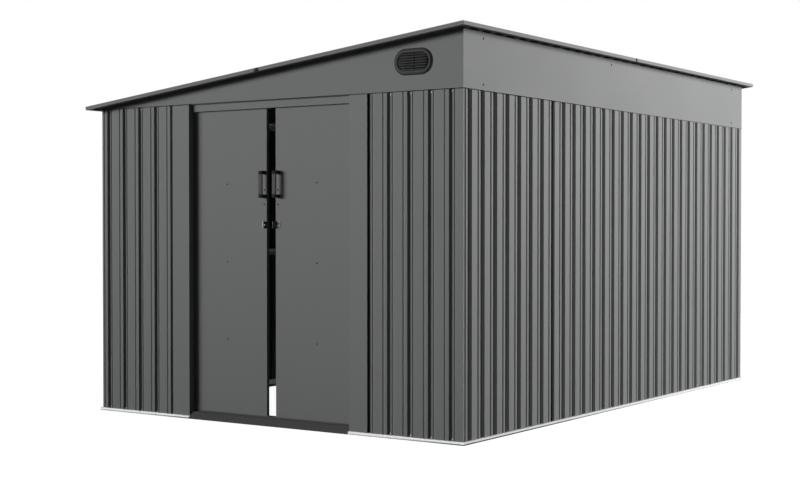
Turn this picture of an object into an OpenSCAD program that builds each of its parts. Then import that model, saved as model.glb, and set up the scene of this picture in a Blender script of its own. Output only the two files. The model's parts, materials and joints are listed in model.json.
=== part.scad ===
// Metal storage shed with a pent roof and two sliding doors, in millimetres.
// The origin is the middle of the footprint on the ground, +X to the right of
// the door wall, +Y to its back and +Z up. The roof falls from +X to -X.

/* [Walls] */
// Width of the shed across the outer faces of the side walls
shed_w = 2440; // [1830:1:3050]
// Depth of the shed across the outer faces of the front and back walls
shed_d = 3660; // [2440:1:4880]
// Height of the panels' lower edge above the ground, where the wall sheets end
eaves_h = 1733; // [1600:1:2200]
// Distance from one groove of the sheets to the next, fitted to each wall
rib_pitch = 122; // [110:1:130]
// Depth of the grooves in the wall and roof sheets
rib_depth = 14; // [8:0.5:18]
// Thickness of the wall and roof sheets
sheet_t = 0.6; // [0.4:0.1:1.2]
// Distance that the wall sheets reach up behind the gable and fascia panels
lap = 23; // [15:1:40]

/* [Roof] */
// Fall of the roof from the high wall to the low one, in degrees
roof_slope = 6.69; // [4:0.01:9]
// Overhang of the roof beyond the side walls
side_overhang = 50; // [30:1:90]
// Overhang of the roof beyond the front and back walls
end_overhang = 83; // [50:1:150]
// Height of the trim round the roof's edge
trim_h = 19.5; // [19:0.5:40]
// Width of the flanges that the roof trim turns inwards
trim_flange = 18; // [12:1:30]
// Thickness of the gable, fascia, trim and door panels
panel_t = 0.8; // [0.5:0.1:1.5]

/* [Base frame] */
// Height of the base rails' ledge, where the wall sheets stand
base_h = 16; // [12:1:40]
// Distance that the base rails stand proud of the wall sheets
base_proud = 11; // [6:1:20]
// Height of the base rails' upright flange behind the wall sheets
base_upstand = 28; // [20:1:40]
// Thickness of the steel in the base rails and the framing
frame_t = 1.2; // [0.8:0.1:2]
// Diameter of the anchor holes in the side base rails
anchor_hole = 10; // [6:0.5:12]
// Distance of the anchor holes from the front and back walls
anchor_inset = 300; // [200:5:500]

/* [Doors] */
// Width of the doorway between the jambs
doorway_w = 1090; // [900:1:1180]
// Distance that the doorway's middle lies to the left of the wall's middle
doorway_shift = 8; // [0:1:20]
// Distance that a closed door reaches behind its jamb
door_overlap = 28; // [20:1:50]
// Gap that the closed doors leave between them
closed_gap = 6; // [5:0.5:10]
// Depth of a door from its face to its back edge
door_t = 20; // [15:1:24]
// Distance from the wall sheets' face to the doors' faces
door_recess = 45; // [40:1:60]
// Gap between the two doors, which stand a little open in the rest pose
door_gap = 62; // [20:1:120]
// Clearance of the doors to the pieces that they pass
door_clear = 6; // [5:0.5:8]
// Height of the header strip that shows over the doors
header_h = 42; // [30:1:60]
// Distance from the wall sheets' face to the header strip
header_recess = 25; // [20:1:30]

/* [Threshold] */
// Height of the threshold's flat top above the ground
threshold_h = 38; // [28:1:45]
// Distance that the threshold's toe stands proud of the wall sheets
toe_proud = 12; // [6:1:40]
// Distance over which the threshold's face slopes back from its toe
toe_slope = 32; // [10:1:34]

/* [Vent] */
// Width of the vent
vent_w = 206; // [160:1:240]
// Height of the vent
vent_h = 120; // [90:1:140]
// Distance that the vent stands out from its panel
vent_reach = 28; // [18:1:40]
// Width of the vent's front rim
vent_rim = 10; // [6:1:16]
// Thickness of the vent's collar and of its middle bar
vent_wall = 4; // [2:0.5:6]
// Height of the vent's middle above the panel's lower edge
vent_rise = 142; // [90:1:170]
// Distance of the vent's middle from the high wall
vent_inset = 288; // [200:1:500]
// Number of slits between the vent's blades, from the rim to the rim
slits = 7; // [4:1:9]

/* [Handles] */
// Height of a pull handle
handle_h = 145; // [100:1:200]
// Width of a pull handle's grip
handle_w = 25; // [15:1:30]
// Distance that a pull handle stands out from its door
handle_reach = 37; // [30:1:38]
// Distance of a pull handle from its door's edge
handle_inset = 3; // [0:0.5:15]
// Height of the handles' middle above the ground
handle_z = 1285; // [900:1:1400]
// Height of the padlock tabs' middle above the ground
hasp_z = 1069; // [800:1:1500]

/* [Hidden] */
$fn = 48;
eps = 1;

// Each groove falls steeply on its left side to a flat floor. On its right side it
// rises steeply to a shoulder and then gently
steep_run = 6;
groove_floor = 11;
shoulder_run = 3;
shoulder_depth = 4;
gentle_run = 8;
groove_w = steep_run + groove_floor + shoulder_run + gentle_run;
half_floor = steep_run + groove_floor / 2;
// Two shallow swages stiffen each plateau, one along the groove and one that
// starts at this share of the plateau's width
swage_share = 0.695;
swage_in = 5;
swage_out = 7.5;
swage_depth = 4;
// Share of a plateau that lies beyond the corner round which it is folded
corner_share = 0.425;
// Inner face of the groove floors, where the framing bears
inner = rib_depth + sheet_t;

half_w = shed_w / 2;
half_d = shed_d / 2;
lap_top = eaves_h + lap;

// Roof frame: its origin is over the middle of the shed, on top of the trim
roof_run = (shed_w + 2 * side_overhang) / cos(roof_slope);
roof_len = shed_d + 2 * end_overhang;
// The trim's lower flange, on which the sheets' grooves lie, meets the low wall
// this far below the panels' lower edge
low_wall_drop = 0.5;
roof_bed = trim_h - panel_t;
low_wall_top = eaves_h - low_wall_drop;
roof_mid_z = low_wall_top + half_w * tan(roof_slope) + roof_bed / cos(roof_slope);

door_z0 = threshold_h + door_clear;
header_z0 = eaves_h - header_h;
// Underside of the front top rail, which carries the header and the door track
head_gap = 2;
track_top = eaves_h - head_gap - frame_t;
// The header hides the lower part of the track and the doors' top edges
track_cover = 14;
track_lip_z = header_z0 + track_cover;
door_z1 = track_lip_z - door_clear;
door_h = door_z1 - door_z0;
door_back = door_recess + door_t;
hanger_t = 3;
track_mid = door_back + hanger_t / 2;
hanger_clear = 5;
slot_w = hanger_t + 2 * hanger_clear;
track_w = 31;
runner_w = 24;
runner_len = 50;
runner_h = 10;
runner_gap = 0.3;
hanger_inset = 80;
hanger_drop = 60;
top_rail_depth = track_mid + track_w / 2 + head_gap;

// Places along the front wall, from its left corner
doorway_mid = half_w - doorway_shift;
jamb_l = doorway_mid - doorway_w / 2;
jamb_r = doorway_mid + doorway_w / 2;
jamb_return = 38;
jamb_lip = 16;
// Distance that the left jamb's foot reaches across the groove floor
jamb_hook = 6;
// The last groove left of the door and the first one right of it, so that at
// least this much of each jamb's face is plain
jamb_face = 40;
groove_l = floor((jamb_l - groove_at("front", 0) - groove_w - jamb_face) / pitch("front"));
groove_r = ceil((jamb_r - groove_at("front", 0) + jamb_face) / pitch("front"));

door_w = (doorway_w - closed_gap) / 2 + door_overlap;
left_edge = doorway_mid - door_gap / 2 - door_w;
right_edge = doorway_mid + door_gap / 2;

rail_h = 40;
rail_d = 20;
mid_rail_z = 871;
rail_gap = 2;
rail_front_gap = top_rail_depth + rail_gap;
rail_back_gap = inner + rail_d + rail_gap;
flange_w = 25;
base_foot = 38;
beam_h = 40;
beam_w = 30;
trim_seat = 0.4;

// Grooves in which one sheet ends and the next begins
side_joints = [for (k = [0:4]) round(k * (groove_count("right") - 1) / 4)];
back_joints = [for (k = [0:3]) round(k * (groove_count("back") - 1) / 3)];
roof_joints = [for (k = [1:3]) round(k * groove_count("right") / 4)];

sheet_grey = [0.30, 0.31, 0.31];
trim_grey = [0.33, 0.34, 0.34];
zinc = [0.82, 0.83, 0.84];
vent_grey = [0.17, 0.18, 0.18];
black = [0.08, 0.08, 0.08];

base_rail_front();
base_rail_side("right");  // base_rail_right
base_rail_back();
base_rail_side("left");  // base_rail_left
door_threshold();
corner("front");  // corner_front_right
corner("right");  // corner_back_right
corner("back");  // corner_back_left
corner("left");  // corner_front_left
wall_sheet("front", 0, groove_l);  // front_sheet_left
wall_sheet("front", groove_r, groove_count("front") - 1);  // front_sheet_right
side_sheet("right", 0);  // right_sheet_1
side_sheet("right", 1);  // right_sheet_2
side_sheet("right", 2);  // right_sheet_3
side_sheet("right", 3);  // right_sheet_4
side_sheet("left", 0);  // left_sheet_1
side_sheet("left", 1);  // left_sheet_2
side_sheet("left", 2);  // left_sheet_3
side_sheet("left", 3);  // left_sheet_4
back_sheet(0);  // back_sheet_1
back_sheet(1);  // back_sheet_2
back_sheet(2);  // back_sheet_3
door_jamb_left();
door_jamb_right();
front_top_rail();
door_header();
door_track();
gable("front");  // front_gable
gable("back");  // back_gable
high_fascia(0);  // high_fascia_1
high_fascia(1);  // high_fascia_2
high_fascia(2);  // high_fascia_3
vent("front");  // front_vent
vent("back");  // back_vent
rails_right();
rails_left();
rails_back();
roof_beams();
roof_sheet(0);  // roof_sheet_1
roof_sheet(1);  // roof_sheet_2
roof_sheet(2);  // roof_sheet_3
roof_sheet(3);  // roof_sheet_4
roof_trim_side(1);  // roof_trim_high
roof_trim_side(-1);  // roof_trim_low
roof_trim_end(-1);  // roof_trim_front
roof_trim_end(1);  // roof_trim_back
door_panel(left_edge);  // left_door_panel
door_hangers(left_edge);  // left_door_hangers
door_handle(left_edge + door_w - handle_inset - handle_w);  // left_door_handle
door_hasp(left_edge + door_w, -1);  // left_door_hasp
door_panel(right_edge);  // right_door_panel
door_hangers(right_edge);  // right_door_hangers
door_handle(right_edge + handle_inset);  // right_door_handle
door_hasp(right_edge, 1);  // right_door_hasp

// Folded steel: a bend line becomes a strip of even thickness, mitred at each
// bend, with the thickness on the left of the line

function left_normal(a, b) = let (d = (b - a) / norm(b - a)) [-d[1], d[0]];

function bend_inside(line, i, t) =
    let (
        last = len(line) - 1,
        before = left_normal(line[max(i - 1, 0)], line[max(i, 1)]),
        after = left_normal(line[min(i, last - 1)], line[min(i + 1, last)]),
        m = before + after
    )
    line[i] + 2 * t * m / (m * m);

function strip(line, t) = concat(
    line,
    [for (i = [len(line) - 1:-1:0]) bend_inside(line, i, t)]
);

module folded(line, t, length) {
    linear_extrude(length)
        polygon(strip(line, t));
}

// Frames: on a wall, X runs from its left corner as seen from outside, Y runs
// inwards from its outer face and Z is up

function wall_length(wall) = wall == "front" || wall == "back" ? shed_w : shed_d;

module on_wall(wall) {
    turn = wall == "front" ? 0 : wall == "right" ? 90 : wall == "back" ? 180 : 270;
    start = wall == "front" ? [-half_w, -half_d]
        : wall == "right" ? [half_w, -half_d]
        : wall == "back" ? [half_w, half_d]
        : [-half_w, half_d];
    translate([start[0], start[1], 0])
        rotate(turn)
            children();
}

// A section drawn inwards and up, run along a wall from one place to another
module along_wall(from, to, line, t) {
    translate([from, 0, 0])
        rotate([90, 0, 90])
            folded(line, t, to - from);
}

// On the roof, X runs up the slope, Z is square to it, and the trim's top is 0
module on_roof() {
    translate([0, 0, roof_mid_z])
        rotate([0, -roof_slope, 0])
            children();
}

// Cuts off what reaches above the plane on which the roof sheets lie, or above
// one that lies lower by a drop
module under_roof(drop = 0) {
    difference() {
        children();
        on_roof()
            translate([-roof_run, -roof_len, -roof_bed - drop])
                cube([2 * roof_run, 2 * roof_len, 2 * eaves_h]);
    }
}

// The front and back walls end under the flange of their gable
module under_gable() {
    under_roof(panel_t)
        children();
}

// Ribbed sheets: a whole number of grooves fits each wall, and a plateau is
// folded round each corner

function groove_count(wall) = round(wall_length(wall) / rib_pitch);
function pitch(wall) = wall_length(wall) / groove_count(wall);
function plateau(wall) = pitch(wall) - groove_w;
function groove_at(wall, k) = corner_share * plateau(wall) + k * pitch(wall);

function swage(at) = [
    [at, 0],
    [at + swage_in, swage_depth],
    [at + swage_in + swage_out, 0]
];

// From one groove's floor over the plateau to the next groove's floor
function rib_line(wall, k) = let (g = groove_at(wall, k)) concat(
    [
        [g + steep_run + groove_floor, rib_depth],
        [g + groove_w - gentle_run, shoulder_depth]
    ],
    swage(g + groove_w),
    swage(g + groove_w + swage_share * plateau(wall)),
    [
        [g + pitch(wall), 0],
        [g + pitch(wall) + steep_run, rib_depth]
    ]
);

function sheet_line(wall, first, last) = concat(
    [[groove_at(wall, first) + half_floor, rib_depth]],
    [for (k = [first:last - 1], p = rib_line(wall, k)) p],
    [[groove_at(wall, last) + half_floor, rib_depth]]
);

module upright(line, top = lap_top) {
    translate([0, 0, base_h])
        folded(line, sheet_t, top - base_h);
}

module wall_sheet(wall, first, last) {
    drop = wall == "front" || wall == "back" ? panel_t : 0;
    color(sheet_grey)
        under_roof(drop)
            on_wall(wall)
                upright(sheet_line(wall, first, last));
}

module side_sheet(wall, k) {
    wall_sheet(wall, side_joints[k], side_joints[k + 1]);
}

module back_sheet(k) {
    wall_sheet("back", back_joints[k], back_joints[k + 1]);
}

// The plateau that wraps round the right end of a wall, with half of the
// groove floor on each side of it
module corner(wall) {
    next = wall == "front" || wall == "back" ? "right" : "front";
    before = (1 - corner_share) * plateau(wall);
    after = corner_share * plateau(next);
    second_swage = swage_share * (before + after) - before;
    line = concat(
        [
            [-before - groove_w + half_floor, rib_depth],
            [-before - gentle_run - shoulder_run, rib_depth],
            [-before - gentle_run, shoulder_depth]
        ],
        swage(-before),
        [[0, 0]],
        [for (p = swage(second_swage)) [-p[1], p[0]]],
        [
            [0, after],
            [-rib_depth, after + steep_run],
            [-rib_depth, after + half_floor]
        ]
    );
    color(sheet_grey)
        under_gable()
            on_wall(wall)
                translate([wall_length(wall), 0, 0])
                    upright(line);
}

// Base frame

// The rail is folded from its upstand over the ledge and down its face to the
// foot, and cut at 45 degrees at both corners of its wall
module base_rail(wall) {
    length = wall_length(wall);
    reach = base_foot + eps;
    line = [
        [inner, base_h + base_upstand],
        [inner, base_h],
        [-base_proud, base_h],
        [-base_proud, 0],
        [base_foot, 0]
    ];
    on_wall(wall)
        intersection() {
            along_wall(-base_proud, length + base_proud, line, frame_t);
            linear_extrude(base_h + base_upstand)
                polygon([
                    [-reach, -reach],
                    [length + reach, -reach],
                    [length - reach, reach],
                    [reach, reach]
                ]);
        }
}

module base_rail_front() {
    color(zinc)
        difference() {
            base_rail("front");
            on_wall("front")
                translate([jamb_l - sheet_t, -base_proud - eps, -eps])
                    cube([doorway_w + 2 * sheet_t, base_proud + base_foot + 2 * eps, threshold_h + base_upstand]);
        }
}

module base_rail_back() {
    color(zinc)
        base_rail("back");
}

module base_rail_side(wall) {
    color(zinc)
        difference() {
            base_rail(wall);
            on_wall(wall)
                for (at = [anchor_inset, shed_d - anchor_inset])
                    translate([at, (inner + base_foot) / 2, -eps])
                        cylinder(d = anchor_hole, h = frame_t + 2 * eps);
        }
}

// Doorway

module door_threshold() {
    guide_h = 8;
    guide_lap = 5;
    front_guide = door_recess - door_clear - frame_t;
    back_guide = door_back + door_clear;
    inside = back_guide + guide_lap;
    line = [
        [inside, 0],
        [inside, threshold_h],
        [toe_slope - toe_proud, threshold_h],
        [-toe_proud, 0]
    ];
    color(sheet_grey)
        on_wall("front") {
            intersection() {
                along_wall(jamb_l, jamb_r, line, frame_t);
                translate([jamb_l, -toe_proud, 0])
                    cube([doorway_w, toe_proud + inside, threshold_h]);
            }
            for (at = [front_guide, back_guide])
                translate([jamb_l, at, threshold_h - frame_t / 2])
                    cube([doorway_w, frame_t, guide_h + frame_t / 2]);
        }
}

module door_jamb_left() {
    start = groove_at("front", groove_l) + half_floor;
    line = [
        [start, rib_depth],
        [start + jamb_hook, rib_depth],
        [start + jamb_hook, 0],
        [jamb_l, 0],
        [jamb_l, jamb_return],
        [jamb_l - jamb_lip, jamb_return]
    ];
    door_jamb(line, start);
}

module door_jamb_right() {
    g = groove_at("front", groove_r);
    line = [
        [jamb_r + jamb_lip, jamb_return],
        [jamb_r, jamb_return],
        [jamb_r, 0],
        [g, 0],
        [g + steep_run, rib_depth],
        [g + half_floor, rib_depth]
    ];
    door_jamb(line, jamb_r);
}

// Below the front top rail the jamb has its full return, above it only the face
module door_jamb(line, from) {
    color(sheet_grey)
        under_gable()
            difference() {
                on_wall("front")
                    upright(line);
                on_wall("front")
                    translate([from - doorway_w, inner, track_top])
                        cube([2 * doorway_w, jamb_return, lap_top]);
            }
}

module front_top_rail() {
    line = [
        [inner, lap_top],
        [inner, track_top],
        [top_rail_depth, track_top]
    ];
    color(sheet_grey)
        under_gable()
            on_wall("front")
                along_wall(inner + rail_d, shed_w - inner - rail_d, line, frame_t);
}

module door_header() {
    line = [
        [jamb_return, track_top],
        [header_recess, track_top],
        [header_recess, header_z0],
        [jamb_return, header_z0]
    ];
    color(sheet_grey)
        on_wall("front")
            along_wall(jamb_l, jamb_r, line, panel_t);
}

// Channel with two lips, open below, in which the door runners slide
module door_track() {
    front = track_mid - track_w / 2;
    back = track_mid + track_w / 2;
    line = [
        [track_mid - slot_w / 2, track_lip_z],
        [front, track_lip_z],
        [front, track_top],
        [back, track_top],
        [back, track_lip_z],
        [track_mid + slot_w / 2, track_lip_z]
    ];
    mirrored = [for (i = [len(line) - 1:-1:0]) line[i]];
    color(zinc)
        on_wall("front")
            along_wall(inner + rail_d, shed_w - inner - rail_d, mirrored, frame_t);
}

// Upper panels

// An oval with flat top and bottom and half round ends
module vent_outline(inset = 0) {
    for (side = [-1, 1])
        translate([side * (vent_w - vent_h) / 2, 0])
            circle(r = vent_h / 2 - inset);
    square([vent_w - vent_h, vent_h - 2 * inset], center = true);
}

// Places the vent's middle, with the same distance from the high wall at both ends
function vent_at(wall) = wall == "front" ? shed_w - vent_inset : vent_inset;

module vent_place(wall) {
    on_wall(wall)
        translate([vent_at(wall), 0, eaves_h + vent_rise])
            rotate([90, 0, 0])
                children();
}

module gable(wall) {
    end = wall == "front" ? -1 : 1;
    color(sheet_grey)
        difference() {
            union() {
                under_roof()
                    on_wall(wall)
                        translate([0, -panel_t, eaves_h])
                            cube([shed_w, panel_t, shed_w]);
                intersection() {
                    on_roof()
                        translate([-roof_run / 2, end < 0 ? -half_d - panel_t : half_d - flange_w, -roof_bed - panel_t])
                            cube([roof_run, flange_w + panel_t, panel_t]);
                    translate([-half_w, -shed_d, eaves_h])
                        cube([shed_w, 2 * shed_d, shed_w]);
                }
            }
            vent_place(wall)
                translate([0, 0, -eps])
                    linear_extrude(panel_t + 2 * eps)
                        vent_outline(vent_wall);
        }
}

module high_fascia(k) {
    fascia_len = (shed_d + 2 * panel_t) / 3;
    top = roof_mid_z + half_w * tan(roof_slope) - roof_bed / cos(roof_slope);
    line = [
        [flange_w, top - flange_w * tan(roof_slope)],
        [-panel_t, top + panel_t * tan(roof_slope)],
        [-panel_t, eaves_h]
    ];
    from = -panel_t + k * fascia_len;
    ends = [k == 0 ? flange_w + panel_t : 0, k == 2 ? flange_w + panel_t : 0];
    color(sheet_grey)
        on_wall("right")
            difference() {
                along_wall(from, from + fascia_len, line, panel_t);
                for (side = [0, 1])
                    if (ends[side] > 0)
                        translate([side == 0 ? from - eps : from + fascia_len - ends[side], 0, eaves_h - eps])
                            cube([ends[side] + eps, flange_w + eps, top]);
            }
}

// Louvre vent: a collar that stands out from the panel, a front rim, a bar down
// the middle and blades whose outer edges lie low, to shed the rain
module vent(wall) {
    step = (vent_h - 2 * vent_rim) / slits;
    blade_t = 1.5;
    blade_run = 14;
    blade_fall = 0.8 * step;
    face = vent_reach - vent_wall;
    color(vent_grey)
        vent_place(wall)
            translate([0, 0, panel_t]) {
                difference() {
                    linear_extrude(vent_reach)
                        vent_outline();
                    translate([0, 0, -eps])
                        linear_extrude(face + eps)
                            vent_outline(vent_wall);
                    linear_extrude(vent_reach + eps)
                        vent_outline(vent_rim);
                }
                intersection() {
                    linear_extrude(vent_reach)
                        vent_outline(vent_wall / 2);
                    union() {
                        translate([-vent_wall / 2, -vent_h / 2, face - blade_run])
                            cube([vent_wall, vent_h, blade_run + vent_wall / 2]);
                        for (k = [1:slits - 1])
                            translate([0, k * step - vent_h / 2 + vent_rim - blade_t / 2, face + vent_wall / 4])
                                rotate([90, 0, 90])
                                    translate([0, 0, -vent_w / 2])
                                        linear_extrude(vent_w)
                                            polygon([
                                                [0, 0],
                                                [blade_fall, -blade_run],
                                                [blade_fall + blade_t, -blade_run],
                                                [blade_t, 0]
                                            ]);
                    }
                }
            }
}

// Framing inside

module c_rail(from, to, z, t = frame_t) {
    line = [
        [inner + rail_d, z + rail_h],
        [inner, z + rail_h],
        [inner, z],
        [inner + rail_d, z]
    ];
    along_wall(from, to, line, t);
}

module rails_right() {
    color(zinc)
        on_wall("right")
            for (z = [mid_rail_z, lap_top - rail_h])
                c_rail(rail_front_gap, shed_d - rail_back_gap, z);
}

module rails_left() {
    color(zinc)
        under_roof()
            on_wall("left")
                for (z = [mid_rail_z, low_wall_top - rail_h])
                    c_rail(rail_back_gap, shed_d - rail_front_gap, z);
}

module rails_back() {
    color(zinc)
        under_gable()
            on_wall("back")
                for (z = [mid_rail_z, lap_top - rail_h])
                    c_rail(inner, shed_w - inner, z);
}

// Two channels from gable to gable, at a third and two thirds of the slope
module roof_beams() {
    line = [
        [beam_w, -beam_h],
        [0, -beam_h],
        [0, 0],
        [beam_w, 0]
    ];
    back_to_front = [for (i = [len(line) - 1:-1:0]) line[i]];
    color(zinc)
        on_roof()
            for (side = [-1, 1])
                translate([side * roof_run / 6 - beam_w / 2, half_d, -roof_bed - panel_t])
                    rotate([90, 0, 0])
                        folded(back_to_front, frame_t, shed_d);
}

// Roof

// A groove of the roof lies over each gable's flange, so the ribs start this
// much further forward than those of the side walls
module roof_sheet(k) {
    shift = groove_at("right", 0) + half_floor - flange_w / 2;
    edge_gap = panel_t + trim_seat;
    ends = concat(
        [-end_overhang + edge_gap],
        [for (joint = roof_joints) groove_at("right", joint) + half_floor - shift],
        [shed_d + end_overhang - edge_gap]
    );
    line = [
        for (i = [-2:groove_count("right") + 1], p = rib_line("right", i))
            [p[0] - shift, p[1]]
    ];
    color(sheet_grey)
        on_roof()
            translate([-roof_run / 2 + edge_gap, -half_d, -roof_bed + inner])
                rotate([90, 0, 90])
                    linear_extrude(roof_run - 2 * edge_gap)
                        intersection() {
                            mirror([0, 1])
                                polygon(strip(line, sheet_t));
                            translate([ends[k], -2 * inner])
                                square([ends[k + 1] - ends[k], 3 * inner]);
                        }
}

// Trim: a face with a flange turned inwards above and below the sheets' edge
module trim_section(length) {
    line = [
        [trim_flange, 0],
        [0, 0],
        [0, -trim_h],
        [trim_flange, -trim_h]
    ];
    rotate([90, 0, 90])
        folded(line, panel_t, length);
}

module mitred_trim(length) {
    intersection() {
        trim_section(length);
        translate([0, 0, -trim_h - eps])
            linear_extrude(trim_h + 2 * eps)
                polygon([
                    [0, 0],
                    [length, 0],
                    [length - trim_flange - eps, trim_flange + eps],
                    [trim_flange + eps, trim_flange + eps]
                ]);
    }
}

module roof_trim_side(end) {
    color(trim_grey)
        on_roof()
            rotate(end > 0 ? 0 : 180)
                translate([roof_run / 2, -roof_len / 2, 0])
                    rotate(90)
                        mitred_trim(roof_len);
}

module roof_trim_end(end) {
    color(trim_grey)
        on_roof()
            rotate(end < 0 ? 0 : 180)
                translate([-roof_run / 2, -roof_len / 2, 0])
                    mitred_trim(roof_run);
}

// Doors

// A tray of folded steel with a stiffener down its middle
module door_panel(at) {
    stiffener_w = 40;
    color(sheet_grey)
        on_wall("front")
            translate([at, door_recess, door_z0]) {
                difference() {
                    cube([door_w, door_t, door_h]);
                    translate([panel_t, panel_t, panel_t])
                        cube([door_w - 2 * panel_t, door_t, door_h - 2 * panel_t]);
                }
                difference() {
                    translate([(door_w - stiffener_w) / 2, panel_t / 2, 0])
                        cube([stiffener_w, door_t - panel_t / 2, door_h]);
                    translate([(door_w - stiffener_w) / 2 + panel_t, panel_t / 2, panel_t])
                        cube([stiffener_w - 2 * panel_t, door_t - 1.5 * panel_t, door_h - 2 * panel_t]);
                }
            }
}

// Two plates on the door's back, each with a runner above the track's lips
module door_hangers(at) {
    top = track_lip_z + frame_t + runner_gap + runner_h;
    color(black)
        on_wall("front")
            for (x = [hanger_inset, door_w - hanger_inset])
                translate([at + x - runner_len / 2, 0, 0]) {
                    translate([0, door_back, door_z1 - hanger_drop])
                        cube([runner_len, hanger_t, top - door_z1 + hanger_drop]);
                    translate([0, track_mid - runner_w / 2, top - runner_h])
                        cube([runner_len, runner_w, runner_h]);
                }
}

module rounded_square(w, h, r) {
    translate([r, 0])
        square([w - 2 * r, h]);
    translate([0, r])
        square([w, h - 2 * r]);
    for (x = [r, w - r], y = [r, h - r])
        translate([x, y])
            circle(r = r);
}

// A square pull, seen from the side as a ring whose back is the door
module door_handle(at) {
    grip_t = 8;
    arm_h = 18;
    color(black)
        on_wall("front")
            translate([at, door_recess - handle_reach, handle_z - handle_h / 2])
                rotate([90, 0, 90])
                    linear_extrude(handle_w)
                        difference() {
                            intersection() {
                                rounded_square(2 * handle_reach, handle_h, 5);
                                square([handle_reach, handle_h]);
                            }
                            translate([grip_t, arm_h])
                                rounded_square(2 * handle_reach, handle_h - 2 * arm_h, 3);
                        }
}

// Angle with a padlock hole in the leg that stands out from the door
module door_hasp(edge, side) {
    tab_h = 37;
    tab_w = 30;
    reach = 28;
    t = 1.5;
    hole = 9;
    hole_reach = 17;
    color(black)
        on_wall("front")
            translate([edge, door_recess, hasp_z - tab_h / 2])
                mirror([side < 0 ? 1 : 0, 0, 0])
                    difference() {
                        union() {
                            translate([0, -t, 0])
                                cube([tab_w, t, tab_h]);
                            translate([0, -reach, 0])
                                cube([t, reach, tab_h]);
                        }
                        translate([-eps, -hole_reach, tab_h / 2])
                            rotate([0, 90, 0])
                                cylinder(d = hole, h = t + 2 * eps);
                    }
}
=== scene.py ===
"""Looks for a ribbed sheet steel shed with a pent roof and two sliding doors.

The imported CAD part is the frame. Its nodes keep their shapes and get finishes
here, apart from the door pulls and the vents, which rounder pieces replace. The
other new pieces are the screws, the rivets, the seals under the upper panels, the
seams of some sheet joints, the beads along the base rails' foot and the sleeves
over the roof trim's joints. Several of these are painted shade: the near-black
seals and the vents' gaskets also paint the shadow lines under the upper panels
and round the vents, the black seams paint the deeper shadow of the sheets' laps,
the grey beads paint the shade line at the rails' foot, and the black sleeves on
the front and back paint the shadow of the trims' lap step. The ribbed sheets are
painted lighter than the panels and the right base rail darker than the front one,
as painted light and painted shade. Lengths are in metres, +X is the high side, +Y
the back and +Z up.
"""

import json

import bpy
import numpy as np
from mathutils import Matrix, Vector


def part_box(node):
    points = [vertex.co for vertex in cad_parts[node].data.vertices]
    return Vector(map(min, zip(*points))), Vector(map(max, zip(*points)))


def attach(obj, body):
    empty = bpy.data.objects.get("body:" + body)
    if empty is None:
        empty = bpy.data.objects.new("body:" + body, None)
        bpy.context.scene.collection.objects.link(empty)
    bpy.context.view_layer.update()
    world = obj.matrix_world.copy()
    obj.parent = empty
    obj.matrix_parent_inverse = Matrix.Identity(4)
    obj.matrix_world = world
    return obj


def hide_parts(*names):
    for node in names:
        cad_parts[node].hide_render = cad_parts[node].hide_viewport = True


bl_info = {
    "name": "Ribbed steel shed",
    "version": (1, 0, 0),
    "blender": (4, 5, 0),
    "location": "3D View > Sidebar > Shed",
    "description": "Finishes and fittings of a sheet steel shed with sliding doors",
    "category": "Object",
}

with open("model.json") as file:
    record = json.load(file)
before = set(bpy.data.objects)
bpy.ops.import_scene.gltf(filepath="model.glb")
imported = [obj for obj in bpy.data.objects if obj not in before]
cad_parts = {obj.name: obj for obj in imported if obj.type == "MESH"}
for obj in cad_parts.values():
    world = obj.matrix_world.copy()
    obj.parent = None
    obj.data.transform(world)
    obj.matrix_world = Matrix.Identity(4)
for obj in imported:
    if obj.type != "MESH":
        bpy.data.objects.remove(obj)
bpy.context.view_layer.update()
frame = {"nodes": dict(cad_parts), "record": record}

# Places read from the frame
HALF_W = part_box("right_sheet_2")[1].x
HALF_D = -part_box("front_sheet_left")[0].y
LEDGE_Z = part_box("corner_front_left")[0].z
EAVES_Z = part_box("front_gable")[0].z
ROOF_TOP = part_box("roof_trim_high")[1]
ROOF_HALF = -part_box("roof_trim_front")[0].x
# Middle of a wall's first groove floor, from the left end of the wall
FLOOR_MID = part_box("front_sheet_left")[0].x + HALF_W

# Shape of the ribs and the roof, as in the part
RIB_PITCH = 0.122
RIB_DEPTH = 0.014
FLOOR_HALF = 0.0055
STEEP_RUN = 0.006
SHOULDER_RUN = 0.003
SHOULDER_DEPTH = 0.004
GENTLE_RUN = 0.008
ROOF_SLOPE = np.radians(6.69)
# Height of the roof's groove floors over the trim's top, square to the slope
ROOF_FLOOR = -0.0181
# Distance of the first roof screws from the front wall
ROOF_FIRST = 0.0125

# Outward direction of each wall in X and Y
OUTWARD = {"front": (0, -1), "right": (1, 0), "back": (0, 1), "left": (-1, 0)}
# Grooves of the front wall that get no screws, at the doorway
DOORWAY_GROOVES = range(4, 16)

# Faces of a groove that a seam covers, from point to point. A seam is a black bead
# in the groove where two sheets lap, painted shadow of the lap. A point is the
# distance from the middle of the floor, to the right, and the depth. A seam
# reaches a little onto the gentle face and covers a share of each face's width
SEAM_REACH = 0.0045
SEAM_SHARE = 0.96
STEEP_SIDE = [((-FLOOR_HALF - STEEP_RUN, 0.0), (-FLOOR_HALF, RIB_DEPTH))]
SHOULDER_EDGE = (FLOOR_HALF + SHOULDER_RUN, SHOULDER_DEPTH)
SEAM_END = (SHOULDER_EDGE[0] + SEAM_REACH, SHOULDER_DEPTH * (1 - SEAM_REACH / GENTLE_RUN))
SHOULDER_SIDE = [((FLOOR_HALF, RIB_DEPTH), SHOULDER_EDGE), (SHOULDER_EDGE, SEAM_END)]
# Groove of each wall that has a seam, where sheets lap and the seam paints the
# lap's shadow, and the faces that the seam covers
LAP_SHADOWS = {
    "front": (15, STEEP_SIDE),
    "right": (7, SHOULDER_SIDE),
    "back": (6, SHOULDER_SIDE),
    "left": (7, SHOULDER_SIDE),
}

# Wall screws stand a little to the right of the middle of their groove's floor
SCREW_SHIFT = 0.002
# Distance of the outer roof screws from the roof's low and high edges, along the slope
ROOF_SCREW_INSET = 0.07

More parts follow.
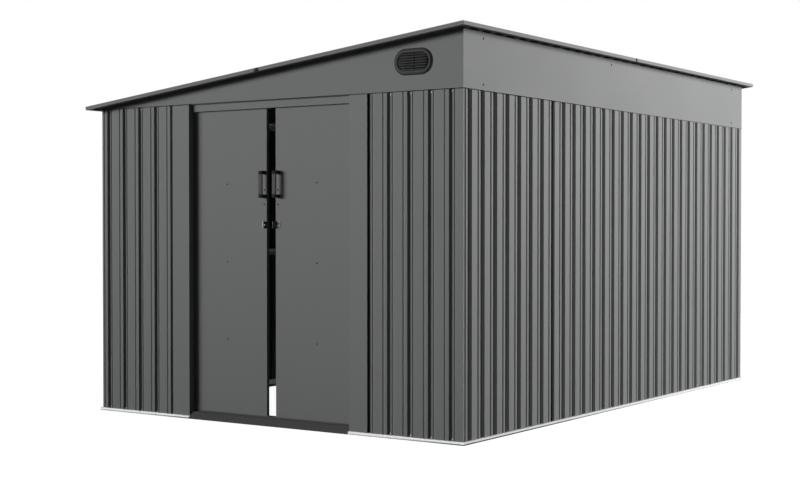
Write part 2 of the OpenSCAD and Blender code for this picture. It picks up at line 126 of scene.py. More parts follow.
# Rivets of the fascia, from the wall's ends and over the panels' lower edge, with
# the Y of the single one, and of the doors, from their middle or their meeting
# edge and over the ground
FASCIA_RIVET_INSET = 0.188
FASCIA_RIVET_ROWS = (0.028, 0.255)
FASCIA_MIDDLE_RIVET = -0.21
DOOR_RIVET_SHIFT = 0.01
DOOR_RIVET_INSET = 0.016
DOOR_MIDDLE_RIVETS = (1.29, 0.869, 0.447)
DOOR_EDGE_RIVETS = (1.255, 1.178)

# Joints of the roof trim, from the middle of each side. The sleeves over them are
# black on the front and back, painted shadow of the trims' lap step, and dark grey
# on the high side
FRONT_JOINT = (-0.021, 0.010)
HIGH_JOINT = (0.015, 0.037)
# Share of the trim's height that a sleeve covers
SLEEVE_SHARE = 0.86
# Distance that thin beads and sleeves stand out
THIN = 0.0006

# Profiles, as inset or radius against height
PULL_COVER = [(0.0104, 0), (0.0104, 0.0006), (0.0090, 0.0012), (0.0030, 0.0014)]
# Middle of a cover from the pull's end, and its seat off the pull's face
COVER_INSET = 0.0105
COVER_LIFT = 0.0002
VENT_RIM = [
    (0.0, -0.0004),
    (0.0, 0.0022),
    (0.0018, 0.0048),
    (0.0044, 0.0072),
    (0.0074, 0.0084),
    (0.0108, 0.0088),
    (0.0138, 0.0082),
    (0.0158, 0.0060),
    (0.0165, 0.0030),
    (0.0165, -0.0040),
    (0.0092, -0.0004),
]
VENT_SHADOW_GASKET = [(0.0, -0.0004), (0.0002, 0.0012), (0.0016, 0.0018), (0.0060, 0.0018), (0.0080, -0.0004)]
# How much wider and taller the gasket is than the rim, and how far inside the
# rim's outer edge the blades and the bar end. The gasket is near-black and its
# outer edge paints the shadow line round the vent's base
GASKET_PAST_RIM = 0.011
BLADE_INSET = 0.0162
BLADES = 7


# Shader maths


class Signal:
    """A number on a shader socket. Python's operators on it add Math nodes."""

    def __init__(self, paint, socket):
        self.paint = paint
        self.socket = socket

    def _math(self, operation, first, second):
        node = self.paint.node("ShaderNodeMath", {"operation": operation}, {0: first, 1: second})
        return Signal(self.paint, node.outputs[0])

    def __add__(self, other):
        return self._math("ADD", self, other)

    def __radd__(self, other):
        return self._math("ADD", other, self)

    def __sub__(self, other):
        return self._math("SUBTRACT", self, other)

    def __rsub__(self, other):
        return self._math("SUBTRACT", other, self)

    def __mul__(self, other):
        return self._math("MULTIPLY", self, other)

    def __rmul__(self, other):
        return self._math("MULTIPLY", other, self)

    def above(self, other):
        """1 where the number is greater than the other, and 0 elsewhere."""
        return self._math("GREATER_THAN", self, other)

    def most(self, other):
        """The greater of two numbers."""
        return self._math("MAXIMUM", self, other)


class Paint:
    """The nodes of one material or world, cleared for a new finish."""

    def __init__(self, owner):
        self.owner = owner
        owner.use_nodes = True
        self.tree = owner.node_tree
        self.tree.nodes.clear()

    def node(self, kind, settings=None, sockets=None):
        """A node of a type, with its settings made before its sockets are fed."""
        made = self.tree.nodes.new(kind)
        for key, value in (settings or {}).items():
            setattr(made, key, value)
        for key, value in (sockets or {}).items():
            self.feed(made.inputs[key], value)
        return made

    def feed(self, socket, value):
        """Links a signal or a socket to a socket, or sets a plain value on it."""
        if isinstance(value, Signal):
            value = value.socket
        if isinstance(value, bpy.types.NodeSocket):
            self.tree.links.new(value, socket)
        else:
            socket.default_value = value

    def place(self, stretch=(1, 1, 1)):
        """Object coordinates, which the mesh keeps in metres, stretched per axis."""
        coords = self.node("ShaderNodeTexCoord").outputs["Object"]
        return self.node("ShaderNodeMapping", None, {"Vector": coords, "Scale": stretch}).outputs[0]

    def noise(self, scale, detail, stretch=(1, 1, 1)):
        """Noise between 0 and 1 with a mean near a half."""
        sockets = {"Vector": self.place(stretch), "Scale": scale, "Detail": detail, "Roughness": 0.55}
        return Signal(self, self.node("ShaderNodeTexNoise", None, sockets).outputs[0])

    def tinted(self, colour, tone):
        """A colour made darker or lighter by a tone near 1."""
        sockets = {0: tuple(colour), "Scale": tone}
        return self.node("ShaderNodeVectorMath", {"operation": "SCALE"}, sockets).outputs[0]

    def blended(self, share, first, second):
        """Two colours mixed by the share of the second."""
        sockets = {0: share, 6: (*first, 1.0), 7: (*second, 1.0)}
        return self.node("ShaderNodeMix", {"data_type": "RGBA"}, sockets).outputs[2]

    def bump(self, height, distance):
        """A normal tilted by a height of up to a distance."""
        return self.node("ShaderNodeBump", None, {"Height": height, "Distance": distance}).outputs[0]

    def seen(self):
        """1 for the rays that show a thing or its reflection, and 0 for those that
        carry its light to other things."""
        rays = self.node("ShaderNodeLightPath").outputs
        shown = Signal(self, rays["Is Camera Ray"])
        for name in ("Is Glossy Ray", "Is Transmission Ray"):
            shown = shown.most(Signal(self, rays[name]))
        return shown

    def surface(self, sockets):
        """The material, with a shader that has these sockets."""
        shader = self.node("ShaderNodeBsdfPrincipled", None, sockets)
        self.node("ShaderNodeOutputMaterial", None, {"Surface": shader.outputs[0]})
        return self.owner


def new_paint(name):
    return Paint(bpy.data.materials.new(name))


def shaded(colour, share):
    """A share of a colour, worked out before it reaches a shader."""
    return tuple(share * c for c in colour)


# Finishes


def coil_paint(name, colour, roughness, rolled=(1, 1, 1)):
    """Stoved paint on rolled sheet: broad soft shifts of tone, faint streaks along
    the rolling direction, and the fine pebble of the paint film."""
    paint = new_paint(name)
    clouds = paint.noise(1.7, 3.0)
    streaks = paint.noise(22.0, 2.0, rolled)
    pebble = paint.noise(650.0, 2.0)
    tone = 0.955 + 0.05 * clouds + 0.025 * streaks + 0.015 * pebble
    return paint.surface(
        {
            "Base Color": paint.tinted(colour, tone),
            "Roughness": roughness - 0.05 + 0.06 * clouds + 0.05 * pebble,
            "Specular IOR Level": 0.07,
            "Normal": paint.bump(pebble + 0.4 * streaks, 0.00006),
        }
    )


def zinc_coat(name, colour, roughness):
    """Hot-dip zinc: crystals some 9 mm across, each with its own tone, under a
    fine grain, with duller patches."""
    paint = new_paint(name)
    crystals = paint.node("ShaderNodeTexVoronoi", None, {"Vector": paint.place(), "Scale": 110.0})
    split = paint.node("ShaderNodeSeparateColor", None, {0: crystals.outputs["Color"]})
    flake = Signal(paint, split.outputs[0])
    patches = paint.noise(9.0, 3.0)
    grain = paint.noise(800.0, 2.0)
    tone = 0.90 + 0.09 * flake + 0.06 * patches
    return paint.surface(
        {
            "Base Color": paint.tinted(colour, tone),
            "Metallic": 0.1,
            "Roughness": roughness + 0.10 * flake + 0.10 * patches,
            "Specular IOR Level": 0.4,
            "Normal": paint.bump(grain + 0.5 * flake, 0.00005),
        }
    )


def moulded_plastic(name, colour, roughness):
    """Spark-eroded plastic: a fine even grain and slight rubbed shine."""
    paint = new_paint(name)
    grain = paint.noise(1100.0, 3.0)
    rubbed = paint.noise(40.0, 2.0)
    return paint.surface(
        {
            "Base Color": paint.tinted(colour, 0.9 + 0.12 * grain + 0.08 * rubbed),
            "Roughness": roughness - 0.08 + 0.14 * rubbed,
            "Specular IOR Level": 0.12,
            "Normal": paint.bump(grain, 0.0001),
        }
    )


def enamelled(name, colour, roughness):
    """Dark enamel on small fittings, with lighter flecks where it is rubbed."""
    paint = new_paint(name)
    rubbed = paint.noise(260.0, 4.0)
    clouds = paint.noise(30.0, 2.0)
    worn = rubbed.above(0.66)
    lighter = tuple(min(1.0, 3.2 * c) for c in colour)
    return paint.surface(
        {
            "Base Color": paint.blended(0.5 * worn, colour, lighter),
            "Roughness": roughness + 0.12 * clouds,
            "Metallic": 0.5 * worn,
            "Normal": paint.bump(rubbed, 0.00008),
        }
    )


# Directions of rolling and brushing, as stretches of a pattern along X, Y and Z
UPRIGHT = (1, 1, 0.02)
LEVEL = (0.05, 0.05, 1)
ALONG_X = (0.05, 1, 1)
# Near-black of the rubber pieces, whose seals, vent gaskets and front and back trim sleeves also paint
# shadow lines, and of the covers, real on the rivets and pulls and painted shadow in the lap seams
RUBBER_AND_SHADOW = (0.012, 0.012, 0.012)
BLACK_AND_SHADOW = (0.003, 0.003, 0.003)
# Nodes whose finish isn't the one of their material slot. The right base rail's
# zinc is a darker copy of the front rail's, painted shade
OWN_FINISH = {"door_threshold": "threshold", "base_rail_right": "dull_zinc"}
# Filled by the first operator, by name
finishes = {}


# Surfaces


def sheet_object(name, vertices, faces, body, slot, finish=None):
    """Puts arrays of vertices and faces into one mesh that rides on a body. Its
    finish is the one of its slot unless another is named."""
    mesh = bpy.data.meshes.new(name)
    mesh.from_pydata(vertices.tolist(), [], [list(f) for f in faces])
    mesh.polygons.foreach_set("use_smooth", np.full(len(mesh.polygons), True))
    mesh.update()
    made = bpy.data.objects.new(name, mesh)
    bpy.context.scene.collection.objects.link(made)
    mesh.materials.append(finishes[finish or slot])
    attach(made, body)
    return made


def ring_faces(rows, around, closed=False):
    """Quads of a grid whose second direction closes on itself, facing outwards
    when it turns anticlockwise about the way that the rows go. A closed grid's
    last row also joins its first."""
    starts = rows if closed else rows - 1
    row, col = np.meshgrid(np.arange(starts), np.arange(around), indexing="ij")
    beside, above = (col + 1) % around, (row + 1) % rows
    corners = [
        row * around + col,
        row * around + beside,
        above * around + beside,
        above * around + col,
    ]
    return np.stack(corners, axis=-1).reshape(-1, 4)


def tube_faces(rows, around, clockwise=False):
    """The quads of an open grid of rings with a face over each end. Rings that
    turn clockwise about the way of the rows have their faces turned over."""
    faces = [tuple(f) for f in ring_faces(rows, around)]
    faces.append(tuple(np.arange(around)[::-1]))
    faces.append(tuple((rows - 1) * around + np.arange(around)))
    return [f[::-1] for f in faces] if clockwise else faces


def repeated(faces, count, step):
    """The faces of a piece for each of a number of like pieces, whose vertices
    follow one another at a step."""
    return [tuple(int(i) + k * step for i in f) for k in range(count) for f in faces]


def joined(*grids):
    """Several grids of points and faces as one."""
    points, faces, start = [], [], 0
    for some, their in grids:
        points.append(some)
        faces += [tuple(int(i) + start for i in f) for f in their]
        start += len(some)
    return np.concatenate(points), faces


def turned_heads(places, normal, profile, around=8):
    """Screw or rivet heads: a profile of radius against height turned about the
    normal n, x = place + r(i) (cos t u + sin t v) + h(i) n, closed by a flat top.
    All heads are worked out as one array."""
    n = np.array(normal, dtype=float)
    helper = (0.0, 1.0, 0.0) if abs(n[2]) > 0.9 else (0.0, 0.0, 1.0)
    u = np.cross(helper, n)
    u /= np.linalg.norm(u)
    v = np.cross(n, u)
    t = np.linspace(0, 2 * np.pi, around, endpoint=False)
    turn = np.outer(np.cos(t), u) + np.outer(np.sin(t), v)
    r, h = np.array(profile).T
    head = r[:, None, None] * turn + h[:, None, None] * n
    points = np.asarray(places)[:, None, None, :] + head
    faces = repeated(tube_faces(len(profile), around), len(places), len(profile) * around)
    return points.reshape(-1, 3), faces


def pan_head(radius, height, washer=0.0):
    """Radius and height of a pan head from its seat to its top, over a washer."""
    head = [
        (radius, 0),
        (radius, 0.45 * height),
        (0.8 * radius, 0.85 * height),
        (0.45 * radius, height),
    ]
    if not washer:
        return head
    step = 0.3 * height
    return [(washer, 0), (washer, 0.6 * step)] + [(r, h + step) for r, h in head]


def wall_length(wall):
    return 2 * (HALF_W if wall in ("front", "back") else HALF_D)


def on_wall(wall, along, depth):
    """Points of a wall in X and Y, from the distance along it to the right of its
    left end and the depth below its outer face."""
    n = np.array(OUTWARD[wall])
    way = np.array([-n[1], n[0]])
    corner = n * (HALF_D if wall in ("front", "back") else HALF_W) - way * wall_length(wall) / 2
    return corner + np.multiply.outer(along, way) - np.multiply.outer(depth, n)


def groove_places(wall, z, skip=()):
    """Screw places in the groove floors of a wall at one height, and the wall's
    outward normal."""
    count = round(wall_length(wall) / RIB_PITCH)
    grooves = np.array([k for k in range(count) if k not in skip])
    along = FLOOR_MID + SCREW_SHIFT + grooves * RIB_PITCH
    xy = on_wall(wall, along, np.full(len(along), RIB_DEPTH))
    return np.column_stack([xy, np.full(len(along), z)]), (*OUTWARD[wall], 0)


def on_roof(up_slope, along, height):
    """Points on the roof from the distance up the slope, the distance along it
    and the height square to it, over the trim's top."""
    c, s = np.cos(ROOF_SLOPE), np.sin(ROOF_SLOPE)
    half_run = ROOF_HALF / c
    mid_z = ROOF_TOP.z - half_run * s
    x = up_slope * c - height * s
    z = mid_z + up_slope * s + height * c
    return np.column_stack(np.broadcast_arrays(x, along, z))


def on_gable(wall, points):
    """Puts a vent's points, which are x and z from its middle and the height off
    the gable, at the place of the vent of a gable."""
    sign = {"front": 1, "back": -1}[wall]
    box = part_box(wall + "_vent")
    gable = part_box(wall + "_gable")
    face = gable[0].y if sign > 0 else gable[1].y
    middle = (box[0] + box[1]) / 2
    x, z, out = points.T
    return np.column_stack([middle.x + sign * x, face - sign * out, middle.z + z])


def bead_grid(start, end, height, proud, n=None, around=10):
    """A half round bead on a wall, P(u, v) = start + u way + proud sin(v) n +
    height / 2 cos(v) (n x way), closed by its back and its ends. The wall lies to
    the left of a level way, and n points out of it. An upright way has its n
    given."""
    start, end = np.array(start), np.array(end)
    way = (end - start) / np.linalg.norm(end - start)
    if n is None:
        n = np.array([way[1], -way[0], 0.0]) / np.hypot(way[0], way[1])
    v = np.linspace(0, np.pi, around)
    ring = np.outer(proud * np.sin(v), n) + np.outer(height / 2 * np.cos(v), np.cross(n, way))
    points = np.stack([start + ring, end + ring])
    return points.reshape(-1, 3), tube_faces(2, around)


def lap_shadow_grid(wall, groove, face):
    """An upright black bead that paints the lap's shadow on one face of a groove, from
    the base ledge to the upper panels. The face runs between two pairs of the
    distance from the middle of the floor and the depth."""
    gap = 0.001
    from_mid, depth = np.array(face).T
    low, high = on_wall(wall, FLOOR_MID + groove * RIB_PITCH + from_mid, depth)
    across = high - low
    n = np.array([-across[1], across[0]])
    n *= np.sign(n @ np.array(OUTWARD[wall])) / np.linalg.norm(n)
    mid = (low + high) / 2
    foot, top = (*mid, LEDGE_Z + gap), (*mid, EAVES_Z - gap)
    return bead_grid(foot, top, SEAM_SHARE * np.linalg.norm(across), THIN, np.array([*n, 0.0]))


def rounded_section(width, corner, samples=5):
    """A rounded rectangle round a strip: for each sample the place across the
    width, a share of the thickness and a fixed part of it."""
    t = np.linspace(0, np.pi / 2, samples)
    quarters = ((1, 0, -np.pi / 2), (1, 1, 0.0), (-1, 1, np.pi / 2), (-1, 0, np.pi))
    across, share, fixed = [], [], []
    for side, inner, start in quarters:
        a = start + t
        across.append(side * (width / 2 - corner) + corner * np.cos(a))
        share.append(np.full(samples, float(inner)))
        fixed.append((-corner if inner else corner) + corner * np.sin(a))
    return np.concatenate(across), np.concatenate(share), np.concatenate(fixed)


def bracket_path(door_y, front_y, low_z, high_z, radius, arm=6, corner=9, grip=14):
    """A square bracket in the plane of Y and Z: out from the door, round a corner
    of a radius, up, round the other corner and back."""
    t = np.linspace(0, np.pi / 2, corner)
    out = np.linspace(door_y, front_y + radius, arm)[:-1]
    up = np.linspace(low_z + radius, high_z - radius, grip)[1:-1]
    y = [
        out,
        front_y + radius - radius * np.sin(t),
        np.full(len(up), front_y),
        front_y + radius - radius * np.cos(t),
        out[::-1],
    ]
    z = [
        np.full(len(out), low_z),
        low_z + radius - radius * np.cos(t),
        up,
        high_z - radius + radius * np.sin(t),
        np.full(len(out), high_z),
    ]
    return np.column_stack([np.concatenate(y), np.concatenate(z)])


def pull_grid(box, grip_t, arm_h, round_out, round_in, edge):
    """The pull: a rounded rectangle carried along the gap between an outer and an
    inner bracket, P(u, v) = outer(u) + n(u) (share(v) T(u) + fixed(v))."""
    low, high = box
    outer = bracket_path(high.y, low.y, low.z, high.z, round_out)
    inner = bracket_path(high.y, low.y + grip_t, low.z + arm_h, high.z - arm_h, round_in)
    gap = inner - outer
    thick = np.linalg.norm(gap, axis=1, keepdims=True)
    n = gap / thick
    across, share, fixed = rounded_section(high.x - low.x, edge)
    depth = share[None, :] * thick + fixed[None, :]
    yz = outer[:, None, :] + n[:, None, :] * depth[..., None]
    x = np.broadcast_to((low.x + high.x) / 2 + across, yz.shape[:2])
    points = np.dstack([x, yz[..., 0], yz[..., 1]])
    return points.reshape(-1, 3), tube_faces(*points.shape[:2], clockwise=True)


def oval_rim(width, height, profile, around=56):
    """The vent's rim or gasket: a profile of inset d and height h carried round an oval,
    (x, z, n) = (+-a + (r - d) cos t, (r - d) sin t, h), with r half the height
    and a half the straight part. The two middles share the tops of the arcs."""
    r, a = height / 2, (width - height) / 2
    half = np.linspace(-np.pi / 2, np.pi / 2, around // 2)
    t = np.concatenate([half, half + np.pi])
    middle = np.concatenate([np.full(len(half), a), np.full(len(half), -a)])
    d, h = np.array(profile).T
    x = middle + (r - d)[:, None] * np.cos(t)
    z = (r - d)[:, None] * np.sin(t)
    points = np.dstack([x, z, np.broadcast_to(h[:, None], x.shape)])
    return points.reshape(-1, 3), ring_faces(len(d), len(t), closed=True)


def oval_blades(width, height, inset, count, along=9):
    """The vent's blades: a slanted strip with a round nose, as long at each height
    as the oval inside the rim, x = s (a + sqrt(r^2 - z^2)) for s from -1 to 1."""
    r, a = height / 2 - inset, (width - height) / 2
    pitch = 2 * r / count
    # Inner upper edge and outer lower edge, as height and distance off the gable
    back, front = np.array([0.48 * pitch, -0.005]), np.array([-0.30 * pitch, 0.0066])
    half_t = 0.00085
    way = (front - back) / np.linalg.norm(front - back)
    n = np.array([way[1], -way[0]])
    nose = front + half_t * way
    section = np.array([
        back + half_t * n,
        front + half_t * n,
        nose,
        front - half_t * n,
        back - half_t * n,
    ])
    level = -r + pitch * (np.arange(count) + 0.5)
    z = level[:, None, None] + section[None, None, :, 0]
    h = np.broadcast_to(section[:, 1], z.shape)
    s = np.linspace(-1, 1, along)[None, :, None]
    x = s * (a + np.sqrt(np.maximum(r**2 - z**2, 0)))
    points = np.stack(np.broadcast_arrays(x, z, h), axis=-1)
    around = len(section)
    faces = repeated(tube_faces(along, around), count, along * around)
    return points.reshape(-1, 3), faces


def oval_bar(height, inset, width=0.008, sunk=0.002, top=0.0078, around=9):
    """The vent's upright bar: half an ellipse in x and n, carried up the oval."""
    t = np.linspace(0, np.pi, around)
    x, h = width / 2 * np.cos(t), -sunk + (top + sunk) * np.sin(t)
    z = np.array([-1, 1])[:, None] * (height / 2 - inset)
    points = np.dstack(np.broadcast_arrays(x, z, h))
    return points.reshape(-1, 3), tube_faces(2, around, clockwise=True)


# Settings


class ShedColours(bpy.types.PropertyGroup):
    """Colours and gloss of the finishes."""

    sheet: bpy.props.FloatVectorProperty(
        name="Sheets", description="Paint of the sheets, the upper panels and the doors",
        subtype="COLOR", default=(0.140, 0.143, 0.143), min=0, max=1,
    )
    trim: bpy.props.FloatVectorProperty(
        name="Roof trim", description="Paint of the roof trim",
        subtype="COLOR", default=(0.140, 0.143, 0.143), min=0, max=1,
    )
    vent: bpy.props.FloatVectorProperty(
        name="Vents", description="Paint of the louvre vents",
        subtype="COLOR", default=(0.050, 0.051, 0.051), min=0, max=1,
    )
    ramp: bpy.props.FloatVectorProperty(
        name="Threshold", description="Paint of the door threshold",
        subtype="COLOR", default=(0.066, 0.067, 0.067), min=0, max=1,
    )
    zinc: bpy.props.FloatVectorProperty(
        name="Zinc", description="Zinc of the base rails, the framing and the wall screws",
        subtype="COLOR", default=(0.90, 0.91, 0.915), min=0, max=1,
    )
    # The right base rail is the same zinc as the front one, made darker: painted shade on its side
    dull_zinc: bpy.props.FloatVectorProperty(
        name="Dull zinc", description="Duller zinc of the right base rail",
        subtype="COLOR", default=(0.52, 0.525, 0.53), min=0, max=1,
    )
    plastic: bpy.props.FloatVectorProperty(
        name="Plastic", description="Plastic of the door pulls and the hangers",
        subtype="COLOR", default=(0.014, 0.014, 0.014), min=0, max=1,
    )
    fitting: bpy.props.FloatVectorProperty(
        name="Fittings", description="Enamel of the padlock tabs",
        subtype="COLOR", default=(0.020, 0.020, 0.020), min=0, max=1,
    )
    gloss: bpy.props.FloatProperty(
        name="Paint roughness", description="Roughness of the stoved paint",
        subtype="FACTOR", default=0.6, min=0, max=1,
    )


class ShedSizes(bpy.types.PropertyGroup):
    """Sizes of the small pieces."""

    screw_r: bpy.props.FloatProperty(
        name="Screw radius", description="Radius of a wall screw's washer",
        unit="LENGTH", default=0.0042, min=0.002, max=0.008,
    )
    screw_h: bpy.props.FloatProperty(
        name="Screw height", description="Height of a wall screw's head",
        unit="LENGTH", default=0.0026, min=0.001, max=0.006,
    )
    rivet_r: bpy.props.FloatProperty(
        name="Rivet radius", description="Radius of the doors' rivets. The fascia's are 1.4 times that",
        unit="LENGTH", default=0.0045, min=0.001, max=0.008,
    )
    foot_gap: bpy.props.FloatProperty(
        name="Foot screws", description="Height of the lowest screws over the base ledge",
        unit="LENGTH", default=0.007, min=0.005, max=0.05,
    )
    # The dark bead under the upper panels is a seal that also paints the shadow line under their lower
    # edges
    shadow_seal_h: bpy.props.FloatProperty(
        name="Seal height", description="Height of the bead under the upper panels",
        unit="LENGTH", default=0.004, min=0.001, max=0.01,
    )
    shadow_seal_t: bpy.props.FloatProperty(
        name="Seal depth", description="Distance that the bead stands out from the sheets",
        unit="LENGTH", default=0.0012, min=0.0005, max=0.005,
    )
    # The grey bead along the rails' foot paints the shade line where they meet the ground
    foot_shade_h: bpy.props.FloatProperty(
        name="Foot bead", description="Height of the grey bead along the foot of the base rails",
        unit="LENGTH", default=0.006, min=0.002, max=0.012,
    )
    vent_w: bpy.props.FloatProperty(
        name="Vent width", description="Width of the vents over their rims",
        unit="LENGTH", default=0.218, min=0.206, max=0.25,
    )
    vent_h: bpy.props.FloatProperty(
        name="Vent height", description="Height of the vents over their rims",
        unit="LENGTH", default=0.122, min=0.12, max=0.15,
    )
    head_gap: bpy.props.FloatProperty(
        name="Head screws", description="Distance of the top screws below the upper panels",
        unit="LENGTH", default=0.012, min=0.005, max=0.05,
    )


def settings():
    return bpy.context.scene.shed_colours, bpy.context.scene.shed_sizes


# Operators


class SHED_OT_finishes(bpy.types.Operator):
    """Makes the finishes and gives one to every CAD node"""

    bl_idname = "shed.finishes"
    bl_label = "Finishes"

    def execute(self, context):
        tint, _ = settings()
        gloss = tint.gloss
        finishes.update(
            # The ribbed sheets have the paint of the panels and doors made 1.06 times lighter: painted
            # light, a lit copy of that paint
            rib_sheet=coil_paint("rib_sheet", shaded(tint.sheet, 1.06), gloss, UPRIGHT),
            panel_steel=coil_paint("panel_steel", tint.sheet, gloss, LEVEL),
            door_steel=coil_paint("door_steel", tint.sheet, gloss, UPRIGHT),
            roof_trim=coil_paint("roof_trim", tint.trim, gloss, LEVEL),
            vent_steel=coil_paint("vent_steel", tint.vent, gloss),
            galvanised_frame=zinc_coat("galvanised_frame", tint.zinc, 0.5),
            # Painted shade: the right base rail's zinc is darker than the rest
            dull_zinc=zinc_coat("dull_zinc", tint.dull_zinc, 0.5),
            # Greys of the foot beads, shares of the zinc, paint the shade line at the rails' foot, darker
            # on the right side
            foot_seal=moulded_plastic("foot_seal", shaded(tint.zinc, 0.5), 0.7),
            dull_seal=moulded_plastic("dull_seal", shaded(tint.dull_zinc, 0.68), 0.7),
            black_plastic=moulded_plastic("black_plastic", tint.plastic, 0.5),
            dark_fittings=enamelled("dark_fittings", tint.fitting, 0.4),
            # Near-black finishes: the seals, gaskets, front and back trim sleeves and lap seams that use
            # them paint shadow lines
            rubber=moulded_plastic("rubber", RUBBER_AND_SHADOW, 0.7),
            cover=moulded_plastic("cover", BLACK_AND_SHADOW, 0.8),
            threshold=coil_paint("threshold", tint.ramp, gloss, ALONG_X),
        )
        for part in frame["record"]["subparts"]:
            node = part["node"]
            mesh = frame["nodes"][node].data
            mesh.materials.clear()
            mesh.materials.append(finishes[OWN_FINISH.get(node, part["material_slot"])])
        return {"FINISHED"}


class SHED_OT_wall_screws(bpy.types.Operator):
    """Adds zinc screws at the foot and at the head of each groove"""

    bl_idname = "shed.wall_screws"
    bl_label = "Wall screws"

    def execute(self, context):
        _, size = settings()
        head = pan_head(0.85 * size.screw_r, size.screw_h, washer=size.screw_r)
        levels = {"foot": LEDGE_Z + size.foot_gap, "head": EAVES_Z - size.head_gap}
        for wall in OUTWARD:
            skip = DOORWAY_GROOVES if wall == "front" else ()
            for row, z in levels.items():
                heads = turned_heads(*groove_places(wall, z, skip), head)
                sheet_object("%s_%s_screws" % (wall, row), *heads, "shed", "galvanised_frame")
        return {"FINISHED"}


class SHED_OT_roof_screws(bpy.types.Operator):
    """Adds screws with washers in the roof's grooves over the beams and the edges"""

    bl_idname = "shed.roof_screws"
    bl_label = "Roof screws"

    def execute(self, context):
        half_run = ROOF_HALF / np.cos(ROOF_SLOPE)
        edge, beam = half_run - ROOF_SCREW_INSET, half_run / 3
        count = round(2 * HALF_D / RIB_PITCH) + 1
        grooves = -HALF_D + ROOF_FIRST + RIB_PITCH * np.arange(count)
        up_slope, y = (a.ravel() for a in np.meshgrid([-edge, -beam, beam, edge], grooves))
        normal = (-np.sin(ROOF_SLOPE), 0, np.cos(ROOF_SLOPE))
        head = pan_head(radius=0.005, height=0.0045, washer=0.0085)
        heads = turned_heads(on_roof(up_slope, y, ROOF_FLOOR), normal, head)
        sheet_object("roof_screws", *heads, "shed", "rib_sheet")
        return {"FINISHED"}


class SHED_OT_rivets(bpy.types.Operator):
    """Adds the dark rivets of the fascia and of the doors"""

    bl_idname = "shed.rivets"
    bl_label = "Rivets"

    def execute(self, context):
        _, size = settings()
        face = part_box("high_fascia_2")[1].x
        low_row, high_row = (EAVES_Z + rise for rise in FASCIA_RIVET_ROWS)
        end = HALF_D - FASCIA_RIVET_INSET
        places = [(face, side * end, z) for side in (-1, 1) for z in (low_row, high_row)]
        places.append((face, FASCIA_MIDDLE_RIVET, high_row))
        large = pan_head(radius=1.4 * size.rivet_r, height=0.0014)
        heads = turned_heads(places, (1, 0, 0), large)
        sheet_object("fascia_rivets", *heads, "shed", "dark_fittings", "cover")
        small = pan_head(radius=size.rivet_r, height=0.0012)
        for door, sign in (("left_door", 1), ("right_door", -1)):
            low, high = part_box(door + "_panel")
            mid = (low.x + high.x) / 2 + DOOR_RIVET_SHIFT * sign
            edge = (high.x if sign > 0 else low.x) - DOOR_RIVET_INSET * sign
            places = [(mid, low.y, z) for z in DOOR_MIDDLE_RIVETS]
            places += [(edge, low.y, z) for z in DOOR_EDGE_RIVETS]
            heads = turned_heads(places, (0, -1, 0), small)
            sheet_object(door + "_rivets", *heads, door, "dark_fittings", "cover")
        return {"FINISHED"}


class SHED_OT_seals(bpy.types.Operator):
    """Lays the dark sealing bead under the edges of the gables and the fascia. It also
    paints the shadow line under those edges
    """

    bl_idname = "shed.seals"
    bl_label = "Seals"

    def execute(self, context):
        _, size = settings()
        jamb_l, jamb_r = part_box("door_jamb_left")[1].x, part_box("door_jamb_right")[0].x
        spans = {
            "front_left": ((-HALF_W, -HALF_D), (jamb_l, -HALF_D)),
            "front_right": ((jamb_r, -HALF_D), (HALF_W, -HALF_D)),
            "right": ((HALF_W, -HALF_D), (HALF_W, HALF_D)),
            "back": ((HALF_W, HALF_D), (-HALF_W, HALF_D)),
        }
        level = EAVES_Z - size.shadow_seal_h / 2
        for name, (start, end) in spans.items():
            grid = bead_grid((*start, level), (*end, level), size.shadow_seal_h, size.shadow_seal_t)
            sheet_object(name + "_seal", *grid, "shed", "dark_fittings", "rubber")
        return {"FINISHED"}


class SHED_OT_lap_seams(bpy.types.Operator):
    """Lays the black seam of a sheet joint in one groove of each wall. It paints the
    deeper shadow of the sheets' lap
    """

    bl_idname = "shed.lap_seams"
    bl_label = "Lap seams"

    def execute(self, context):
        for wall, (groove, side) in LAP_SHADOWS.items():
            grid = joined(*(lap_shadow_grid(wall, groove, face) for face in side))
            sheet_object(wall + "_lap_shadow_line", *grid, "shed", "dark_fittings", "cover")
        return {"FINISHED"}


class SHED_OT_foot_beads(bpy.types.Operator):
    """Lays the grey bead along the foot of the front and right base rails. It paints
    the shade line where the rails meet the ground
    """

    bl_idname = "shed.foot_beads"
    bl_label = "Foot beads"

    def execute(self, context):
        _, size = settings()
        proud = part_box("base_rail_right")[1].x
        out = -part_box("base_rail_front")[0].y
        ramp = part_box("door_threshold")
        feet = {
            "foot_shade_left": ((-proud, -out), (ramp[0].x, -out), "foot_seal"),
            "foot_shade_right": ((ramp[1].x, -out), (proud, -out), "foot_seal"),
            "foot_shade_side": ((proud, -out), (proud, out), "dull_seal"),
        }
        level = size.foot_shade_h / 2
        for name, (start, end, finish) in feet.items():
            grid = bead_grid((*start, level), (*end, level), size.foot_shade_h, THIN)
            sheet_object(name, *grid, "shed", "galvanised_frame", finish)
        return {"FINISHED"}


